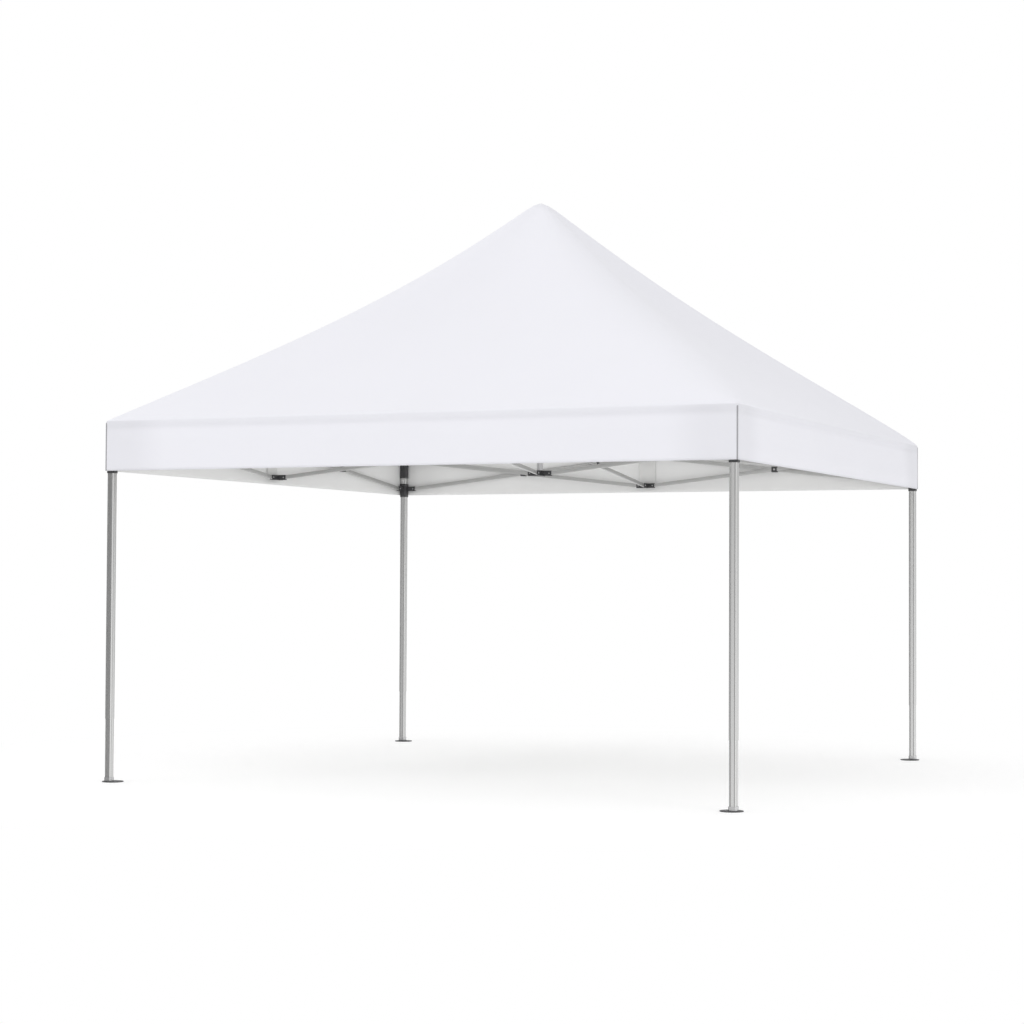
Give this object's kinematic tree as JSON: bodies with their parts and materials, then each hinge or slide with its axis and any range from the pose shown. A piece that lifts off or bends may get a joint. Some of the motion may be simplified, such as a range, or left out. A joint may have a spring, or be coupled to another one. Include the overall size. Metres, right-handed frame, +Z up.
{
  "type": "folding marquee tent",
  "caption": "Square folding marquee tent with a white hipped fabric roof, straight valances, a scissor truss frame and telescoping legs on round feet.",
  "frame": {"origin": "middle of the tent on the ground it stands on", "axes": "+Z up, -Y to the front side, +X to the right seen from the front"},
  "size_m": [4.0434, 4.0434, 3.688],
  "materials": {
    "roof_fabric": "white coated polyester cloth, soft matt sheen, sewn seams and hems",
    "leg_aluminium": "satin anodised extrusion with cut corners",
    "inner_leg_aluminium": "satin anodised extrusion, fine marks along its length",
    "bar_aluminium": "satin rectangular tube",
    "mast_aluminium": "satin round tube",
    "joint_plastic": "black moulded nylon, matt, fine grain",
    "foot_steel": "dark grey powder coated steel plate"
  },
  "bodies": {
    "frame": {"outer_leg_front_left": "leg_aluminium", "outer_leg_front_right": "leg_aluminium", "outer_leg_back_right": "leg_aluminium", "outer_leg_back_left": "leg_aluminium", "top_bracket_front_left": "joint_plastic", "top_bracket_front_right": "joint_plastic", "top_bracket_back_right": "joint_plastic", "top_bracket_back_left": "joint_plastic", "slider_front_left": "joint_plastic", "slider_front_right": "joint_plastic", "slider_back_right": "joint_plastic", "slider_back_left": "joint_plastic", "upper_joint_front": "joint_plastic", "lower_joint_front": "joint_plastic", "upper_joint_right": "joint_plastic", "lower_joint_right": "joint_plastic", "upper_joint_back": "joint_plastic", "lower_joint_back": "joint_plastic", "upper_joint_left": "joint_plastic", "lower_joint_left": "joint_plastic", "upper_hub": "joint_plastic", "lower_hub": "joint_plastic", "side_truss_front_left": "bar_aluminium", "side_truss_front_right": "bar_aluminium", "side_truss_right_left": "bar_aluminium", "side_truss_right_right": "bar_aluminium", "side_truss_back_left": "bar_aluminium", "side_truss_back_right": "bar_aluminium", "side_truss_left_left": "bar_aluminium", "side_truss_left_right": "bar_aluminium", "inner_truss_front": "bar_aluminium", "inner_truss_right": "bar_aluminium", "inner_truss_back": "bar_aluminium", "inner_truss_left": "bar_aluminium", "mast": "mast_aluminium", "mast_head": "joint_plastic", "roof_panel_front": "roof_fabric", "roof_panel_right": "roof_fabric", "roof_panel_back": "roof_fabric", "roof_panel_left": "roof_fabric", "peak_patch": "roof_fabric", "valance_front": "roof_fabric", "valance_right": "roof_fabric", "valance_back": "roof_fabric", "valance_left": "roof_fabric"},
    "leg_front_left": {"inner_leg_front_left": "inner_leg_aluminium", "foot_front_left": "foot_steel"},
    "leg_front_right": {"inner_leg_front_right": "inner_leg_aluminium", "foot_front_right": "foot_steel"},
    "leg_back_right": {"inner_leg_back_right": "inner_leg_aluminium", "foot_back_right": "foot_steel"},
    "leg_back_left": {"inner_leg_back_left": "inner_leg_aluminium", "foot_back_left": "foot_steel"}
  },
  "joints": [
    {"name": "leg_slide_front_left", "type": "slide", "parent": "frame", "child": "leg_front_left", "axis": [0, 0, 1], "range_m": [0, 0.345]},
    {"name": "leg_slide_front_right", "type": "slide", "parent": "frame", "child": "leg_front_right", "axis": [0, 0, 1], "range_m": [0, 0.345]},
    {"name": "leg_slide_back_right", "type": "slide", "parent": "frame", "child": "leg_back_right", "axis": [0, 0, 1], "range_m": [0, 0.345]},
    {"name": "leg_slide_back_left", "type": "slide", "parent": "frame", "child": "leg_back_left", "axis": [0, 0, 1], "range_m": [0, 0.345]}
  ]
}
